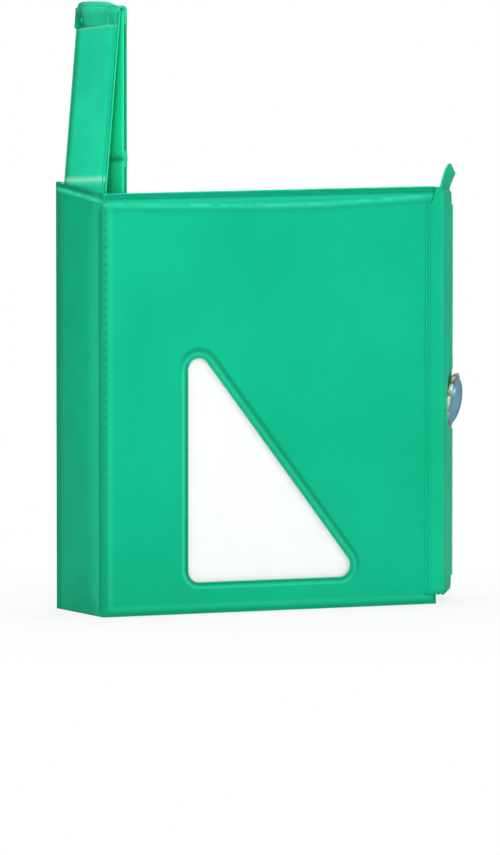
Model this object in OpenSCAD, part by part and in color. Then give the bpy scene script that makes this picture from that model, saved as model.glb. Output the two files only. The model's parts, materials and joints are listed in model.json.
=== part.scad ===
// Snap-flap storage case for domino tiles: vinyl skins welded over card stiffeners.
// The case stands on its bottom end, X to the right, Y away from the front, Z up.
// The origin is the middle of the bottom end.

/* [Case] */
// Width of the case across its front panel
case_w = 132; // [110:1:150]
// Depth of the case from front to back
case_d = 42; // [34:1:48]
// Height of the case from its bottom end to the front rim
case_h = 148; // [130:1:170]
// How far the front rim climbs from the spine to the flap
front_rise = 3.5; // [0:0.5:4]
// How far the rear left corner of the rim stands above the front left one
corner_rise = 5; // [0:0.5:8]
// Length of the back rim that slopes down from that corner
rise_run = 26; // [15:1:40]

/* [Walls] */
// Thickness of the outer vinyl skin
skin_t = 0.8; // [0.6:0.1:1.0]
// Thickness of the card stiffener
board_t = 1.6; // [1.2:0.1:2.0]
// Thickness of the inner lining
lining_t = 0.5; // [0.4:0.1:0.7]
// Height of the solid weld that closes each wall at the rim
rim_h = 2.5; // [1.5:0.5:4]
// Radius of the raised weld beads
bead_r = 0.8; // [0.5:0.1:1.0]
// Distance from a rim or an edge to the middle of its weld bead
bead_in = 3.4; // [2.5:0.1:5]

/* [Window] */
// Width of the triangular window
window_w = 64.7; // [50:1:80]
// Middle of the window, to the right of the panel's middle
window_x = -1.2; // [-8:0.1:8]
// Height of the triangular window
window_h = 79.6; // [60:1:95]
// Height of the window's lower edge above the bottom end
window_z = 11; // [8:1:30]
// Radius of the window's corners
window_r = 4.4; // [3:0.1:6]
// Overlap of the skin over the clear film
film_lap = 5; // [4:0.5:7]
// Thickness of the clear film
film_t = 0.3; // [0.2:0.1:0.5]
// Width of the raised weld round the window
window_weld_w = 1.8; // [1:0.1:3]
// Distance from the window's cut edge to that weld
window_weld_in = 1.1; // [0.5:0.1:2]
// Height of that weld above the skin
window_weld_t = 0.5; // [0.3:0.1:0.8]

/* [Lid] */
// Length of the first lid leaf, from the spine to the crease
leaf_l = 70; // [60:1:74]
// Length of the tuck at the lid's free end
tuck_l = 24; // [18:1:28]
// Gap between the lid's long edges and the lining on each side
lid_side_gap = 0.4; // [0.3:0.1:0.8]
// Angle of the open lid from upright, toward the opening
lid_lean = 5; // [3:1:10]
// Depth of the lid's hinge line below the front rim
hinge_drop = 3; // [2:0.5:5]
// Thickness of the lid's outer vinyl
lid_skin_t = 0.5; // [0.4:0.1:0.8]
// Thickness of the lid's card
lid_board_t = 0.5; // [0.4:0.1:0.8]
// Thickness of the lid's lining
lid_lining_t = 0.3; // [0.3:0.1:0.5]
// Width of the weld round the lid's cards
lid_weld_w = 2; // [1.5:0.5:4]
// Length of soft vinyl without card on each side of the lid's crease
lid_soft = 7.5; // [4:0.5:10]
// Radius of the soft bead on each hinge line
hinge_r = 0.4; // [0.35:0.05:0.6]

/* [Snap flap] */
// Length of the snap flap from its hinge line
flap_l = 35; // [31:1:37]
// Angle of the open flap from closed
flap_open = 33; // [20:1:60]
// Thickness of the flap's card
flap_board_t = 0.9; // [0.8:0.1:1.2]
// Height of the flap's lower edge above the bottom end
flap_z = 3; // [2:1:8]
// Depth of the flap's top edge below the rim
flap_top_drop = 1; // [0.5:0.5:3]
// Height of the ear above the rim
ear_h = 9; // [6:0.5:14]
// Height of the snap above the bottom end
snap_z = 73.5; // [60:1:90]
// Radius of the snap cap
cap_r = 10; // [7:0.5:11]
// Height of the snap cap's dome
cap_h = 4.2; // [3:0.1:5]
// Radius of the snap stud
stud_r = 2; // [1.5:0.1:2.5]
// Height of the snap stud above the end wall
stud_h = 1.4; // [1.2:0.1:1.5]

/* [Hidden] */
$fn = 64;

VINYL = [0.07, 0.71, 0.54];
VINYL_DARK = [0.05, 0.62, 0.47];
CARD = [0.62, 0.58, 0.5];
WHITE = [0.95, 0.95, 0.93];
CLEAR = [0.9, 0.95, 0.97, 0.4];
NICKEL = [0.55, 0.65, 0.66];

half_w = case_w / 2;
half_d = case_d / 2;
wall_t = skin_t + board_t + lining_t;
in_x = half_w - wall_t;
in_y = half_d - wall_t;
// Each wall's layers, as distances in from the outer face.
SKIN = [0, skin_t];
BOARD = [skin_t, skin_t + board_t];
LINING = [skin_t + board_t, wall_t];
cut = 1; // how far a cutting shape runs past what it cuts
arc_steps = 8; // straight pieces in a rounded corner
board_top = case_h - rim_h;

// Window: the middles of its three corner arcs, counterclockwise seen from the front.
window_left = window_x - window_w / 2 + window_r;
window_right = window_x + window_w / 2 - window_r;
window_low = window_z + window_r;
window_high = window_z + window_h - window_r;
slope_normal = atan2(window_high - window_low, window_left - window_right) - 90;

// Lid: its layers above the hinge plane, and its hinge line.
lid_t = lid_skin_t + lid_board_t + lid_lining_t;
LID_BOARD = [hinge_r + lid_lining_t, hinge_r + lid_lining_t + lid_board_t];
LID_SKIN = [hinge_r + lid_t - lid_skin_t, hinge_r + lid_t];
strip_t = 0.5; // thickness of the strips that hold the lid and the flap
lid_gap = 0.3; // room between the open lid and the spine's skin
end_gap = 0.5; // room between the closed tuck and the end wall
hinge_x = -half_w + skin_t + lid_gap + (hinge_r + lid_t) * cos(lid_lean);
hinge_z = case_h - hinge_drop;
lid_half = in_y - lid_side_gap;
tuck_s = in_x - end_gap - hinge_x - lid_t - hinge_r; // hinge line to the tuck's crease
leaf_root = hinge_r + 0.3; // a leaf starts this far from its hinge line
leaf_end = 0.3; // and stops this far short of the next one
hinge_strip_h = 12; // height of the weld that holds the lid behind the spine
fold_open = 180 - lid_lean; // angle between the two leaves, from flat

// Flap: drawn closed, from its hinge line along Y, with its outer face toward X.
flap_x = half_w + 1.3;
flap_y = -half_d + 0.4;
flap_in = -0.5; // the closed flap's inner face, from the hinge line
FLAP_LINING = [flap_in, flap_in + lining_t];
FLAP_BOARD = [flap_in + lining_t, flap_in + lining_t + flap_board_t];
FLAP_SKIN = [FLAP_BOARD[1], FLAP_BOARD[1] + skin_t];
flap_bead_r = 0.7;
flap_margin = 2; // vinyl past the flap's card on the free edges
bead_gap = 0.4; // room between a weld bead and what it stops at
flap_root = 1.2; // the flap starts this far from its hinge line
flap_r = 5; // radius of the flap's free corners
flap_rim = case_h + front_rise; // height of the front rim beside the flap
flap_top = flap_rim - flap_top_drop;
flap_web_w = 4; // width of the weld that holds the flap on the front panel
snap_u = half_d - 0.4; // the snap's middle, from the flap's hinge line
socket_r = 5;
socket_bore_r = stud_r + 0.6;
socket_floor = 0.4;
flange_r = 6.5; // radius of the stud's flange and of the eyelet
flange_t = 0.5;
ear_foot = rim_h;

function arc_at(c, r, a0, a1) =
    [for (i = [0:arc_steps]) let (a = a0 + (a1 - a0) * i / arc_steps) c + r * [cos(a), sin(a)]];

// The window's outline in X and Z, grown by g.
function window_outline(g) = concat(
    arc_at([window_left, window_low], window_r + g, 180, 270),
    arc_at([window_right, window_low], window_r + g, 270, 360 + slope_normal),
    arc_at([window_left, window_high], window_r + g, slope_normal, 180)
);

// A plate from an outline in X and Z, between two distances along Y.
module plate_xz(outline, y0, y1) {
    translate([0, y1, 0]) rotate([90, 0, 0]) linear_extrude(y1 - y0) polygon(outline);
}

// A plate from an outline in Y and Z, between two distances along X.
module plate_yz(outline, x0, x1) {
    translate([x0, 0, 0]) rotate([90, 0, 90]) linear_extrude(x1 - x0) polygon(outline);
}

module block(lo, hi) {
    translate(lo) cube(hi - lo);
}

// Heights above the front left corner of the rim, along the front and along the end wall.
function front_climb(x) = front_rise * (x + half_w) / case_w;
function end_climb(y) = front_rise * (half_d - y) / case_d;

// A part of a sloping wall between two heights, of which the lower may be level.
module front_panel(layer, z0, z1, climb = 0) {
    x = half_w - layer[0];
    plate_xz(
        [
            [-x, z0 + climb * front_climb(-x)], [x, z0 + climb * front_climb(x)],
            [x, z1 + front_climb(x)], [-x, z1 + front_climb(-x)]
        ],
        -half_d + layer[0], -half_d + layer[1]
    );
}

// Back panel from z0 up to a drop below its rim.
module back_panel(layer, z0, drop) {
    x = half_w - layer[0];
    plate_xz(
        [
            [-x, z0], [x, z0], [x, case_h - drop],
            [-half_w + rise_run, case_h - drop], [-x, case_h + corner_rise - drop]
        ],
        half_d - layer[1], half_d - layer[0]
    );
}

module end_panel(layer, z0, z1, climb = 0) {
    y = half_d - layer[1];
    plate_yz(
        [
            [-y, z0 + climb * end_climb(-y)], [y, z0 + climb * end_climb(y)],
            [y, z1 + end_climb(y)], [-y, z1 + end_climb(-y)]
        ],
        half_w - layer[1], half_w - layer[0]
    );
}

// The spine's skin: its rim climbs from the front to the back.
module spine_panel(layer) {
    y = half_d - layer[1];
    plate_yz(
        [[-y, 0], [y, 0], [y, case_h + corner_rise], [-y, case_h]],
        -half_w + layer[0], -half_w + layer[1]
    );
}

module bottom_panel(layer) {
    block([-in_x, -in_y, layer[0]], [in_x, in_y, layer[1]]);
}

module window_cut(g) {
    plate_xz(window_outline(g), -half_d - cut, -half_d + wall_t + cut);
}

module front_skin() {
    color(VINYL) difference() {
        front_panel(SKIN, 0, case_h);
        window_cut(0);
    }
}

module front_board() {
    color(CARD) difference() {
        front_panel(BOARD, 0, board_top);
        window_cut(film_lap);
    }
}

module front_lining() {
    color(WHITE) difference() {
        front_panel(LINING, 0, case_h);
        window_cut(film_lap);
    }
}

module window_film() {
    y = -half_d + skin_t;
    color(CLEAR) plate_xz(window_outline(film_lap), y, y + film_t);
}

module window_weld() {
    color(VINYL) difference() {
        plate_xz(
            window_outline(window_weld_in + window_weld_w), -half_d - window_weld_t, -half_d
        );
        window_cut(window_weld_in);
    }
}

module back_skin() { color(VINYL) back_panel(SKIN, 0, 0); }

module back_board() {
    color(CARD) back_panel(BOARD, 0, rim_h);
}

module back_lining() { color(WHITE) back_panel(LINING, 0, 0); }

module spine_skin() { color(VINYL_DARK) spine_panel(SKIN); }

// Under the lid's hinge strip the spine's card and lining stop level.
module spine_inner(layer) {
    y = half_d - layer[1];
    block([-half_w + layer[0], -y, 0], [-half_w + layer[1], y, hinge_z - strip_t]);
}

module spine_board() { color(CARD) spine_inner(BOARD); }

module spine_lining() { color(WHITE) spine_inner(LINING); }

// The end wall's three layers, each with its share of the stud's rivet hole.
module end_wall(layer, z1) {
    difference() {
        end_panel(layer, 0, z1);
        translate([half_w - wall_t - cut, 0, snap_z]) rotate([0, 90, 0])
            cylinder(r = stud_r, h = wall_t + 2 * cut);
    }
}

module end_skin() { color(VINYL_DARK) end_wall(SKIN, case_h); }

module end_board() { color(CARD) end_wall(BOARD, board_top); }

module end_lining() { color(WHITE) end_wall(LINING, case_h); }

module bottom_skin() { color(VINYL_DARK) bottom_panel(SKIN); }

module bottom_board() { color(CARD) bottom_panel(BOARD); }

module bottom_lining() { color(WHITE) bottom_panel(LINING); }

module front_rim_weld() { color(VINYL) front_panel(BOARD, board_top, case_h, 1); }

// The weld that closes the back panel's sloping rim above the card.
module back_rim_weld() {
    x = half_w - BOARD[0];
    slope_x = -half_w + rise_run;
    color(VINYL) plate_xz(
        [
            [x, board_top], [x, case_h], [slope_x, case_h], [-x, case_h + corner_rise],
            [-x, board_top + corner_rise], [slope_x, board_top]
        ],
        half_d - BOARD[1], half_d - BOARD[0]
    );
}

module end_rim_weld() { color(VINYL_DARK) end_panel(BOARD, board_top, case_h, 1); }

// A half-round bead along Z, with its flat side on the skin at X = 0.
module bead(length) {
    difference() {
        cylinder(r = bead_r, h = length);
        translate([0, -bead_r - cut, -cut])
            cube([bead_r + cut, 2 * (bead_r + cut), length + 2 * cut]);
    }
}

module front_rim_bead() {
    color(VINYL) translate([-half_w, -half_d, case_h - bead_in])
        rotate([0, -atan2(front_rise, case_w), 0]) rotate([90, 0, 0]) rotate([0, 90, 0])
            bead(case_w - flap_web_w - bead_gap);
}

module back_rim_bead() {
    color(VINYL) translate([-half_w + rise_run, half_d, case_h - bead_in])
        rotate([-90, 0, 0]) rotate([0, 90, 0]) bead(case_w - rise_run);
}

module spine_rim_bead() {
    run = case_d;
    tilt = atan2(corner_rise, run);
    color(VINYL_DARK) translate([-half_w, -half_d, case_h - bead_in])
        rotate([tilt - 90, 0, 0]) bead(run / cos(tilt) - bead_r);
}

module spine_edge_beads() {
    color(VINYL_DARK) for (side = [-1, 1])
        translate([-half_w, side * (half_d - bead_in / 2), 0]) bead(case_h - 2 * bead_in);
}

// Lid leaves are drawn flat and closed, from the hinge line along X, and then swung open.
module lid_leaf(s0, s1) {
    block([s0, -lid_half, LID_SKIN[0]], [s1, lid_half, LID_SKIN[1]]);
}

// A leaf's card, and the lining with the weld that closes round it.
module lid_card(s0, s1, top) {
    y = lid_half - lid_weld_w;
    block([s0, -y, LID_BOARD[0]], [s1, y, top]);
}

module lid_pocket(s0, s1, card0, card1) {
    difference() {
        block([s0, -lid_half, hinge_r], [s1, lid_half, LID_BOARD[1]]);
        lid_card(card0, card1, LID_BOARD[1] + cut);
    }
}

module swing_lid() {
    translate([hinge_x, 0, hinge_z]) rotate([0, lid_lean - 90, 0]) children();
}

// The far leaf and the tuck hang back down from the crease.
module swing_far() {
    swing_lid() translate([leaf_l, 0, 0]) rotate([0, fold_open, 0])
        translate([-leaf_l, 0, 0]) children();
}

module crease_bead(s) {
    translate([s, lid_half, 0]) rotate([90, 0, 0]) cylinder(r = hinge_r, h = 2 * lid_half);
}

module lid_hinge_strip() {
    color(VINYL) {
        block([-in_x, -lid_half, hinge_z - hinge_strip_h], [-in_x + strip_t, lid_half, hinge_z]);
        block(
            [-half_w + skin_t, -lid_half, hinge_z - strip_t], [-in_x + strip_t, lid_half, hinge_z]
        );
        translate([hinge_x, 0, hinge_z]) crease_bead(0);
    }
}

// Where each leaf starts and ends, and where its card does.
near_leaf = [leaf_root, leaf_l - leaf_end];
near_card = [leaf_root + lid_weld_w, leaf_l - lid_soft];
far_leaf = [leaf_l + leaf_root, tuck_s - leaf_end];
far_card = [leaf_l + lid_soft, tuck_s - lid_weld_w];
tuck_leaf = [tuck_s + leaf_root, tuck_s + tuck_l];
tuck_card = [tuck_s + leaf_root + lid_weld_w, tuck_s + tuck_l - lid_weld_w];

module lid_skin() { color(VINYL) swing_lid() lid_leaf(near_leaf[0], near_leaf[1]); }

module lid_board() {
    color(CARD) swing_lid() lid_card(near_card[0], near_card[1], LID_BOARD[1]);
}

module lid_lining() {
    color(VINYL_DARK) swing_lid()
        lid_pocket(near_leaf[0], near_leaf[1], near_card[0], near_card[1]);
}

// A bead on a short strip that is welded under the leaf.
module crease_strip(s, width) {
    crease_bead(s);
    block([s - width, -lid_half, 0], [s, lid_half, hinge_r]);
}

module lid_crease() { color(VINYL) swing_lid() crease_strip(leaf_l, hinge_strip_h / 2); }

module lid_far_skin() { color(VINYL) swing_far() lid_leaf(far_leaf[0], far_leaf[1]); }

module lid_far_board() {
    color(CARD) swing_far() lid_card(far_card[0], far_card[1], LID_BOARD[1]);
}

module lid_far_lining() {
    color(VINYL_DARK) swing_far() lid_pocket(far_leaf[0], far_leaf[1], far_card[0], far_card[1]);
}

module tuck_crease() { color(VINYL) swing_far() crease_strip(tuck_s, hinge_strip_h / 2); }

module tuck_skin() { color(VINYL) swing_far() lid_leaf(tuck_leaf[0], tuck_leaf[1]); }

module tuck_board() {
    color(CARD) swing_far() lid_card(tuck_card[0], tuck_card[1], LID_BOARD[1]);
}

module tuck_lining() {
    color(VINYL_DARK) swing_far()
        lid_pocket(tuck_leaf[0], tuck_leaf[1], tuck_card[0], tuck_card[1]);
}

// The flap, drawn closed and then swung open about its upright hinge line.
module swing_flap() {
    translate([flap_x, flap_y, 0]) rotate([0, 0, -flap_open]) children();
}

// The flap's outline in Y and Z, pulled in by m on its free edges.
function flap_outline(m, top) = concat(
    [[flap_root, flap_z + m]],
    arc_at([flap_l - flap_r, flap_z + flap_r], flap_r - m, -90, 0),
    arc_at([flap_l - flap_r, top - flap_r], flap_r - m, 0, 90),
    [[flap_root, top - m]]
);

module flap_hinge_strip() {
    color(VINYL) {
        translate([flap_x, flap_y, flap_z])
            cylinder(r = flap_bead_r, h = flap_top - flap_z);
        block([half_w - flap_web_w, -half_d - strip_t, flap_z], [flap_x, -half_d, flap_top]);
    }
}

module snap_hole(r) {
    translate([flap_in - cut, snap_u, snap_z]) rotate([0, 90, 0])
        cylinder(r = r, h = wall_t + 2 * cut);
}

module flap_skin() {
    color(VINYL) swing_flap() difference() {
        plate_yz(flap_outline(0, flap_top), FLAP_SKIN[0], FLAP_SKIN[1]);
        snap_hole(stud_r);
    }
}

module flap_board() {
    color(CARD) swing_flap() difference() {
        plate_yz(flap_outline(flap_margin, flap_top - ear_foot), FLAP_BOARD[0], FLAP_BOARD[1]);
        snap_hole(socket_r);
    }
}

module flap_lining() {
    color(VINYL_DARK) swing_flap() difference() {
        plate_yz(flap_outline(0, flap_top), FLAP_LINING[0], FLAP_LINING[1]);
        snap_hole(socket_r);
    }
}

// The ear stands above the rim and tucks under the closed lid's end.
module flap_ear() {
    foot = flap_top - ear_foot;
    color(VINYL) swing_flap() plate_yz(
        [
            [flap_root, foot], [flap_l - flap_r, foot], [flap_l, flap_top],
            [flap_l, flap_rim + ear_h * 0.62], [flap_l * 0.6, flap_rim + ear_h], [flap_root, flap_rim]
        ],
        FLAP_BOARD[0], FLAP_BOARD[1]
    );
}

// The bead along the flap's free edge stops above and below the snap's cap.
module flap_edge_bead() {
    low = flap_z + flap_r;
    cap_low = snap_z - cap_r - bead_gap;
    cap_high = snap_z + cap_r + bead_gap;
    color(VINYL) swing_flap() translate([FLAP_SKIN[1], flap_l - bead_in, 0]) rotate([0, 0, 180]) {
        translate([0, 0, low]) bead(cap_low - low);
        translate([0, 0, cap_high]) bead(flap_top - flap_r - cap_high);
    }
}

module snap_cap() {
    ball_r = (cap_r * cap_r + cap_h * cap_h) / (2 * cap_h);
    color(NICKEL) swing_flap() translate([FLAP_SKIN[1], snap_u, snap_z]) rotate([0, 90, 0]) {
        intersection() {
            translate([0, 0, cap_h - ball_r]) sphere(r = ball_r, $fn = 128);
            cylinder(r = cap_r, h = cap_h + cut);
        }
        translate([0, 0, -skin_t]) cylinder(r = stud_r, h = skin_t + cut);
    }
}

module snap_socket() {
    depth = flap_board_t + lining_t;
    color(NICKEL) swing_flap() translate([flap_in, snap_u, snap_z]) rotate([0, 90, 0])
        difference() {
            cylinder(r = socket_r, h = depth);
            translate([0, 0, -cut]) cylinder(r = socket_bore_r, h = depth - socket_floor + cut);
        }
}

module snap_stud() {
    color(NICKEL) translate([half_w, 0, snap_z]) rotate([0, 90, 0]) {
        cylinder(r = flange_r, h = flange_t);
        cylinder(r = stud_r, h = stud_h);
        translate([0, 0, -wall_t]) cylinder(r = stud_r, h = wall_t + flange_t);
    }
}

module snap_eyelet() {
    color(NICKEL) translate([in_x - flange_t, 0, snap_z]) rotate([0, 90, 0])
        cylinder(r = flange_r, h = flange_t);
}

front_skin();
front_board();
front_lining();
window_film();
window_weld();
back_skin();
back_board();
back_lining();
spine_skin();
spine_board();
spine_lining();
end_skin();
end_board();
end_lining();
bottom_skin();
bottom_board();
bottom_lining();
front_rim_weld();
back_rim_weld();
end_rim_weld();
front_rim_bead();
back_rim_bead();
spine_rim_bead();
spine_edge_beads();
lid_hinge_strip();
flap_hinge_strip();
snap_stud();
snap_eyelet();
flap_skin();
flap_board();
flap_lining();
flap_ear();
flap_edge_bead();
snap_cap();
snap_socket();
lid_skin();
lid_board();
lid_lining();
lid_crease();
lid_far_skin();
lid_far_board();
lid_far_lining();
tuck_crease();
tuck_skin();
tuck_board();
tuck_lining();
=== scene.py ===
import json
import math
from functools import reduce

import bpy
import numpy as np
from mathutils import Matrix, Vector, noise
from mathutils.geometry import delaunay_2d_cdt

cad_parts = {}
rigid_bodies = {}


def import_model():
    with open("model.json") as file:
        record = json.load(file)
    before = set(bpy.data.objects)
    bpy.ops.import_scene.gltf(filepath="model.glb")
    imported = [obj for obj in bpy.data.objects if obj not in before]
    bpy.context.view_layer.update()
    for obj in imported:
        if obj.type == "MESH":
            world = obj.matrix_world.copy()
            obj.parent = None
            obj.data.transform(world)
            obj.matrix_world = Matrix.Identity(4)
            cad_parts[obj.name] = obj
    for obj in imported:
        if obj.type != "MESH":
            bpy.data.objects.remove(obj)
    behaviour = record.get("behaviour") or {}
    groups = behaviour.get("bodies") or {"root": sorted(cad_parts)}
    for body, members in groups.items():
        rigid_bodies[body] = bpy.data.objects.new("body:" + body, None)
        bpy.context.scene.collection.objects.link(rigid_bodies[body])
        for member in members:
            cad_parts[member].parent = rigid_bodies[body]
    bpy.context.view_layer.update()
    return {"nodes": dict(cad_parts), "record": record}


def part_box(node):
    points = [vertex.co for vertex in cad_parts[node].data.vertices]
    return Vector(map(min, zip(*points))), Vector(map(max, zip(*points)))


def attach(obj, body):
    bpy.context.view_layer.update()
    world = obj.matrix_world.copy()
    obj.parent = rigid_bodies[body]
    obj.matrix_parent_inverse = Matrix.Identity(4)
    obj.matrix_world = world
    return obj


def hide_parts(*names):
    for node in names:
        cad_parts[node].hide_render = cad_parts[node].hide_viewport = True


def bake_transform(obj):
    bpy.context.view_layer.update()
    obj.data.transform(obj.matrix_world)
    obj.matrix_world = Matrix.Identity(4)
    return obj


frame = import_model()
mm = 0.001


# places that the frame gives, in millimetres
def nodeBox(node):
    low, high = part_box(node)
    return Vector(low) / mm, Vector(high) / mm


def jointPlace(name):
    joint = next(j for j in frame["record"]["behaviour"]["joints"] if j["name"] == name)
    return Vector(joint["pos_m"]) / mm


frontLow, frontHigh = nodeBox("front_skin")
backHigh = nodeBox("back_skin")[1]
halfWidth = (frontHigh.x - frontLow.x) / 2
halfDepth = (backHigh.y - frontLow.y) / 2
cornerRise = 5.0
rimHeight = backHigh.z - cornerRise
frontClimb = frontHigh.z - rimHeight
lidAxis = jointPlace("lid_hinge")
creaseAxis = jointPlace("lid_fold")
tuckAxis = jointPlace("tuck_fold")
flapAxis = jointPlace("flap_hinge")
lidLean = math.atan2(creaseAxis.x - lidAxis.x, creaseAxis.z - lidAxis.z)
leafLength = (creaseAxis - lidAxis).length
lidHalf = nodeBox("lid_skin")[1].y
flapOpen = math.radians(33)  # how far the flap stands off closed at rest
print("frame read")


# helpers that build nodes, for materials and for the beads
def setSockets(tree, node, values):
    # a value that is another node's output is linked, and any other is set
    for label, value in values.items():
        if isinstance(value, bpy.types.NodeSocket):
            tree.links.new(value, node.inputs[label])
        else:
            node.inputs[label].default_value = value


def addNode(tree, kind, values, **settings):
    node = tree.nodes.new(kind)
    for name, setting in settings.items():
        setattr(node, name, setting)
    setSockets(tree, node, values)
    return node


def newGroup(name, inputs, outputs):
    group = bpy.data.node_groups.new(name, "ShaderNodeTree")
    for label, value in inputs.items():
        kind = "NodeSocketColor" if isinstance(value, tuple) else "NodeSocketFloat"
        group.interface.new_socket(name=label, in_out="INPUT", socket_type=kind).default_value = value
    for label, kind in outputs.items():
        group.interface.new_socket(name=label, in_out="OUTPUT", socket_type=kind)
    return group, group.nodes.new("NodeGroupInput").outputs, group.nodes.new("NodeGroupOutput")


def mathNode(tree, operation, *values):
    return addNode(tree, "ShaderNodeMath", dict(enumerate(values)), operation=operation).outputs[0]


def noiseNode(tree, vector, scale, detail, rough=0.5):
    values = {"Vector": vector, "Scale": scale, "Detail": detail, "Roughness": rough}
    return addNode(tree, "ShaderNodeTexNoise", values).outputs["Fac"]


def mixColour(tree, factor, a, b):
    values = {"Factor": factor, "A": a, "B": b}
    return addNode(tree, "ShaderNodeMix", values, data_type="RGBA").outputs["Result"]


def remap(tree, value, low, high, outLow=0.0, outHigh=1.0):
    values = {"Value": value, "From Min": low, "From Max": high, "To Min": outLow, "To Max": outHigh}
    return addNode(tree, "ShaderNodeMapRange", values).outputs["Result"]


def attributeNode(tree, label):
    return addNode(tree, "ShaderNodeAttribute", {}, attribute_name=label).outputs["Fac"]


def bumpNode(tree, height, strength, distance):
    values = {"Height": height, "Strength": strength, "Distance": distance}
    return addNode(tree, "ShaderNodeBump", values).outputs["Normal"]


def objectCoords(tree):
    return tree.nodes.new("ShaderNodeTexCoord").outputs["Object"]


# how fine the vinyl's patches, grain, ripples and scuffs are drawn
vinylDetail = {
    "patch": 3.0, "patchLow": 0.32, "patchHigh": 0.68, "grain": 2.0, "grainRough": 0.6, "grainDepth": 0.05,
    "rippleRough": 0.4, "scuffScale": 420.0, "scuff": 5.0, "scuffRough": 0.75, "wornLow": 0.55,
    "wornHigh": 0.75,
}


def makeVinylGroup():
    # pressed grain, slow colour drift and handling scuffs of soft vinyl
    spec = vinylDetail
    group, given, out = newGroup(
        "softVinylSurface",
        {
            "Colour": (0.0, 0.5, 0.3, 1), "Deep Colour": (0.0, 0.4, 0.2, 1), "Drift Scale": 28.0,
            "Grain Scale": 1500.0, "Ripple Scale": 60.0, "Ripple": 1.0, "Gloss Low": 0.25, "Gloss High": 0.4,
        },
        {"Colour": "NodeSocketColor", "Roughness": "NodeSocketFloat", "Height": "NodeSocketFloat"},
    )
    coords = objectCoords(group)
    drift = noiseNode(group, coords, given["Drift Scale"], spec["patch"])
    patches = remap(group, drift, spec["patchLow"], spec["patchHigh"])
    grain = noiseNode(group, coords, given["Grain Scale"], spec["grain"], spec["grainRough"])
    ripple = noiseNode(group, coords, given["Ripple Scale"], spec["grain"], spec["rippleRough"])
    scuff = noiseNode(group, coords, spec["scuffScale"], spec["scuff"], spec["scuffRough"])
    worn = remap(group, scuff, spec["wornLow"], spec["wornHigh"])
    spread = mathNode(group, "SUBTRACT", given["Gloss High"], given["Gloss Low"])
    extra = mathNode(group, "MULTIPLY", worn, spread)
    broad = mathNode(group, "MULTIPLY", ripple, given["Ripple"])
    fine = mathNode(group, "MULTIPLY", grain, spec["grainDepth"])
    setSockets(group, out, {
        "Colour": mixColour(group, patches, given["Deep Colour"], given["Colour"]),
        "Roughness": mathNode(group, "ADD", extra, given["Gloss Low"]),
        "Height": mathNode(group, "ADD", broad, fine),
    })
    return group


def makePressedLinePaintedLight():
    # a line along an edge, pressed in or raised as bump, that also paints shade and a highlight into the
    # colour: a bell round one distance from it, in millimetres
    effects = ("PaintedShade", "Light", "Lift")
    group, given, out = newGroup(
        "pressedLinePaintedLight",
        {"Gap": 0.0, "Centre": 2.0, "Width": 0.5, "PaintedShade": 0.0, "Light": 0.0, "Lift": 0.0},
        {label: "NodeSocketFloat" for label in effects},
    )
    away = mathNode(group, "SUBTRACT", given["Gap"], given["Centre"])
    ratio = mathNode(group, "DIVIDE", away, given["Width"])
    square = mathNode(group, "MULTIPLY", ratio, ratio)
    bell = mathNode(group, "EXPONENT", mathNode(group, "MULTIPLY", square, -1.0))
    setSockets(group, out, {label: mathNode(group, "MULTIPLY", bell, given[label]) for label in effects})
    return group


vinylGroup = makeVinylGroup()
pressedLinePaintedLight = makePressedLinePaintedLight()

# linear colours worked out from what the real finish shows, with a darker tint for painted shade and a
# lighter tint for a painted highlight; a line holds the distance it follows, its middle and its width in
# millimetres, and how much painted shade, painted highlight and lift it adds
faceFinish = {
    "colour": (0.004, 0.515, 0.275, 1), "deep": (0.003, 0.455, 0.235, 1), "paintedShade": (0.001, 0.2, 0.1, 1),
    "paintedHighlight": (0.08, 0.8, 0.5, 1), "lines": (), "drift": 22.0, "grain": 1700.0, "ripple": 0.35,
    "rippleScale": 45.0, "gloss": (0.3, 0.44),
}
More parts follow.
